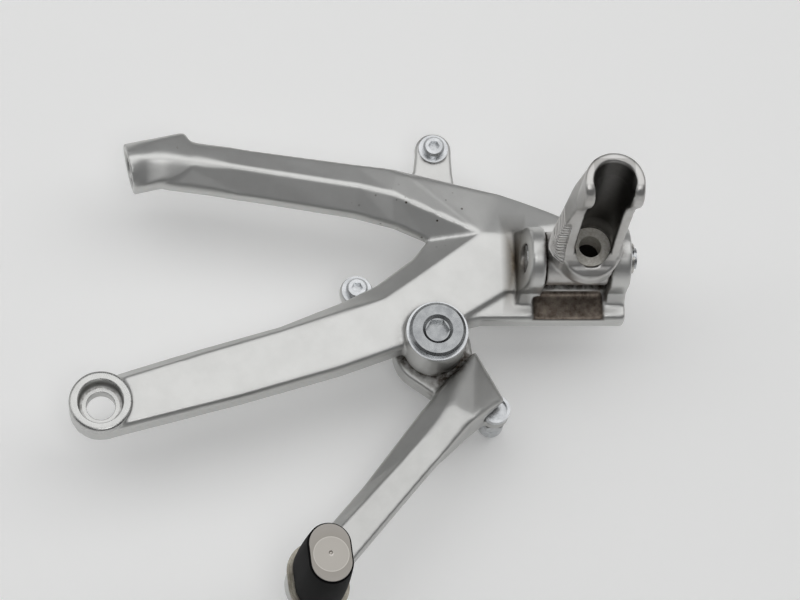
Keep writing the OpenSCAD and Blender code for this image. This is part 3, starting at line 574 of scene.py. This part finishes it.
def lift_band(x, y):
    """Moves the band up: all of the edge's lift at the edge, which fades to none at the
    middle of the face and to the rim's lift at the outline."""
    middle = height_on(ARM_MIDDLE, x)
    edge = height_on(BAND_EDGE, x)
    rim = height_on(BAND_RIM, x)
    edge_lift = height_on(EDGE_LIFT, x)
    to_edge = np.clip((y - middle) / (edge - middle), 0, 1)
    to_rim = np.clip((y - edge) / (rim - edge), 0, 1)
    lift = edge_lift * to_edge + (height_on(RIM_LIFT, x) - edge_lift) * to_rim
    # What lies more than 8 mm past the outline is the upper arm
    return y + np.where(y < rim + 8, lift, 0)


def hanger_shape(p):
    """Trims the net to the faces in the photograph."""
    x, y, z = p.T
    y, z = trim_slope(x, y, z)
    z = trim_boss(x, y, z)
    return np.stack([x, lift_band(x, y), z], 1)


def lever_melt(p):
    """The soft creases at the lever's root."""
    x, y, z = p.T
    return smooth_step(y, -22, -8) * smooth_step(z, 1, 4) * smooth_step(x, 118, 126)


def grip_ribs(p):
    """Grip ribs cut into the left side of the peg: x += depth (1 - sin(2 pi z / pitch)) / 2."""
    x, y, z = p.T
    ends = smooth_step(z, RIB_LOW, RIB_LOW + 2) * smooth_step(-z, -RIB_HIGH, 2 - RIB_HIGH)
    where = smooth_step(-x, -RIB_LEFT - 1, -RIB_LEFT) * ends
    return np.stack([x + RIB_DEPTH * where * (1 - np.sin(2 * math.pi * z / RIB_PITCH)) / 2, y, z], 1)


cast_skin("hanger", "hanger_body", hanger_cast, voxel=0.6, passes=9,
          shape=hanger_shape, keep=hanger_keep, melt=hanger_melt, melt_passes=36)
cast_skin("gear_lever", "lever_body", lever_cast, voxel=0.55, passes=9,
          melt=lever_melt, melt_passes=26)
cast_skin("footpeg", "peg_body", peg_cast, voxel=0.42, passes=14, carve=grip_ribs)


# Lower mounting eye
def eye_profile(rim=12.03, face=12.03, recess=8.65, seat=5.62, bore=5.5, foot=0.02, wall=0.7):
    """Outline of the machined facing as (radius, height) points: up the rim, over the face,
    down the recess to the screw's seat, down the bore and back up inside the casting. Rim,
    face and seat lie 0.02 or 0.03 mm outside the solid, so that they cover its skin."""
    shown = [(rim, 8.2), (rim, face), (recess, face), (recess, seat), (bore, seat), (bore, foot)]
    hidden = [(bore + wall, foot), (bore + wall, 5.0), (9.4, 5.0), (9.4, 11.2), (11.2, 11.0)]
    reach = [0.1, 0.1, 1.9, 0.35, 0.3, 0.3, 0.2] + [0.1] * len(hidden)
    return rounded([(11.2, 7.5)] + shown + hidden, reach)


mesh_piece("eye_facing", *turned(eye_profile()), "hanger_body", "cast_aluminium", machined)


# Return spring
def spring_path(start=(169.95, 53.5, 22.0), radius=6.0, pitch=1.376, turns=2.5, plate=9.3, rise=6.8):
    """Helix round the pin between two straight legs, one up from the plate and one up into
    the knuckle: P(t) = start + (pitch t, -R cos 2 pi t, R sin 2 pi t), t in turns."""
    t = np.linspace(0, turns, 121)
    a = 2 * math.pi * t
    x, y, z = start
    coil = np.stack([x + pitch * t, y - radius * np.cos(a), z + radius * np.sin(a)], 1)
    plate_leg = np.linspace([x, y - radius, plate], coil[0], 20, endpoint=False)
    peg_leg = np.linspace(coil[-1], coil[-1] + [0, 0, rise], 12)[1:]
    return np.concatenate([plate_leg, coil, peg_leg])


# Both legs lie in slots of the knuckle, so the wire goes with the peg
spring = mesh_piece("spring_wire", *swept(spring_path(), radius=0.75), "peg_body", "steel", steel)
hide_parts("return_spring")


# Rubber of the toe peg
def at_toe(p):
    """Moves points from the toe peg's own place to its place on the lever."""
    x, y, z = np.moveaxis(p, -1, 0)
    cos, sin = math.cos(TOE_TURN), math.sin(TOE_TURN)
    x, y = x * cos - y * sin, x * sin + y * cos
    cos, sin = math.cos(TOE_LEAN), math.sin(TOE_LEAN)
    x, z = x * cos + z * sin, z * cos - x * sin
    return np.stack([x, y, z], -1) + TOE_FOOT


def oval_tube(profile, width=14.8, length=21.4, steps=48):
    """A closed profile of (offset, height) points carried round an oval with straight
    sides: P = (R cos a, R sin a +- s), R = width / 2 + offset, s = (length - width) / 2."""
    offset, height = np.array(profile, float).T
    a = np.r_[np.linspace(0, math.pi, steps), np.linspace(math.pi, 2 * math.pi, steps)][:, None]
    shift = np.repeat([1.0, -1.0], steps)[:, None] * (length - width) / 2
    r = width / 2 + offset
    z = np.broadcast_to(height, (2 * steps, len(height)))
    co = np.stack([r * np.cos(a), r * np.sin(a) + shift, z], -1)
    return at_toe(co), grid(2 * steps, len(height))[:, ::-1]


# Wall of the rubber as (offset from the core, height) points: its foot, its taper and its lip
sleeve_wall = [(0.02, 3.6), (2.08, 3.6), (2.05, 12), (1.6, 24), (0.7, 36.9), (0.02, 37.4)]
sleeve = rounded(sleeve_wall, [0.1, 0.9, 4, 6, 0.8, 0.2])
toe_sleeve = mesh_piece("toe_peg_sleeve", *oval_tube(sleeve), "lever_body", "black_rubber", rubber)
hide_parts("toe_peg_rubber")


# Floor
def paper_finish():
    """Pale matt paper. Eyes and metals see it a little paler than it lights the object."""
    glow = {"Emission Color": linear("FFFFFF")}
    material, tree, shader = new_finish("pale_paper", "F6F6F5", 0.0, 0.9, **glow)
    path = add(tree, "ShaderNodeLightPath")
    seen = add(tree, "ShaderNodeMath", {"operation": "ADD"},
               {0: (path, "Is Camera Ray"), 1: (path, "Is Glossy Ray")})
    paler = add(tree, "ShaderNodeMath", {"operation": "MULTIPLY", 1: 0.14}, {0: (seen, 0)})
    tree.links.new(paler.outputs[0], shader.inputs["Emission Strength"])
    return material


def bowl(radius=2200, rise=900, middle=(96, 16), steps=96):
    """Floor with a rim that curves up all round it: the profile (r, h) runs flat to the
    radius, then along a quarter circle of the rise, turned about the object's middle. It
    lies 0.05 mm under the object."""
    a = np.linspace(0, math.pi / 2, 12)[1:]
    r = np.r_[0.0, np.linspace(300, radius, 6), radius + rise * np.sin(a)]
    h = np.r_[np.zeros(7), rise * (1 - np.cos(a))] + cad_box[0].z / MM - 0.05
    t = np.linspace(0, 2 * math.pi, steps, endpoint=False)[:, None]
    z = np.broadcast_to(h, (steps, len(h)))
    co = np.stack([r * np.cos(t) + middle[0], r * np.sin(t) + middle[1], z], -1)
    return co, grid(steps, len(h), round_cols=False)


mesh_piece("floor", *bowl(), None, None, paper_finish())

# Sky: plain and slightly cool, a little stronger towards +Y
world = bpy.data.worlds.new("studio")
bpy.context.scene.world = world
world.use_nodes = True
world.node_tree.nodes.clear()
sky_place = add(world.node_tree, "ShaderNodeTexCoord")
sky_axes = add(world.node_tree, "ShaderNodeSeparateXYZ", links={"Vector": (sky_place, "Generated")})
strength = add(world.node_tree, "ShaderNodeMapRange", {"From Min": -1.0, "To Min": 0.14, "To Max": 0.19},
               {"Value": (sky_axes, "Y")})
sky = add(world.node_tree, "ShaderNodeBackground", {"Color": (0.97, 0.98, 1.0, 1.0)},
          {"Strength": (strength, "Result")})
add(world.node_tree, "ShaderNodeOutputWorld", links={"Surface": (sky, "Background")})


# Lamps and camera
def placed(thing, x, y, z, at):
    """Puts a lamp or camera at a place in metres, with its own axes along x, y and z."""
    thing.matrix_world = Matrix([[x[k], y[k], z[k], at[k]] for k in range(3)] + [[0, 0, 0, 1]])
    bpy.context.scene.collection.objects.link(thing)


def softbox(name, towards, distance, size, power, aim=(0.115, 0.045, 0.01)):
    """A rectangular lamp that stands in a direction from the object and faces it, in metres
    and watts."""
    z = np.array(towards) / np.linalg.norm(towards)
    x = np.cross([0, 1, 0.01], z)
    x /= np.linalg.norm(x)
    lamp = bpy.data.objects.new(name, bpy.data.lights.new(name, "AREA"))
    lamp.data.shape = "RECTANGLE"
    lamp.data.size, lamp.data.size_y = size
    lamp.data.energy = power
    lamp.visible_camera = False
    placed(lamp, x, np.cross(z, x), z, np.array(aim) + z * distance)


# A lamp's radiance is power / (pi area): about 1.2 overhead, 0.9 from the left and 3.2
# beside the camera, where a small lamp gives the bright lines on edges that face it
softbox("overhead", (0.06, 0.34, 0.94), 1.6, (3.6, 1.35), 17.6)
softbox("left", (-0.85, 0.1, 0.5), 1.2, (0.35, 0.8), 0.8)
softbox("beside_camera", (0.02, -0.34, 0.94), 1.1, (0.35, 0.35), 1.25)

# The photograph was taken from 1161 mm, about 20 degrees off square
LOOKS_AT = (114.9, 44.5, 0)
DISTANCE = 1161
TILT = math.radians(19.9)
TURN = math.radians(4.8)
right = np.array([math.cos(TURN), -math.sin(TURN) * math.sin(TILT), math.sin(TURN) * math.cos(TILT)])
up = np.array([0, math.cos(TILT), math.sin(TILT)])
back = np.cross(right, up)
camera = bpy.data.objects.new("camera", bpy.data.cameras.new("camera"))
camera.data.lens = 135
camera.data.sensor_width = 36
camera.data.clip_start = 0.05
camera.data.clip_end = 20
placed(camera, right, up, back, (np.array(LOOKS_AT) + DISTANCE * back) * MM)
bpy.context.scene.camera = camera
bpy.context.scene.view_settings.view_transform = "Standard"
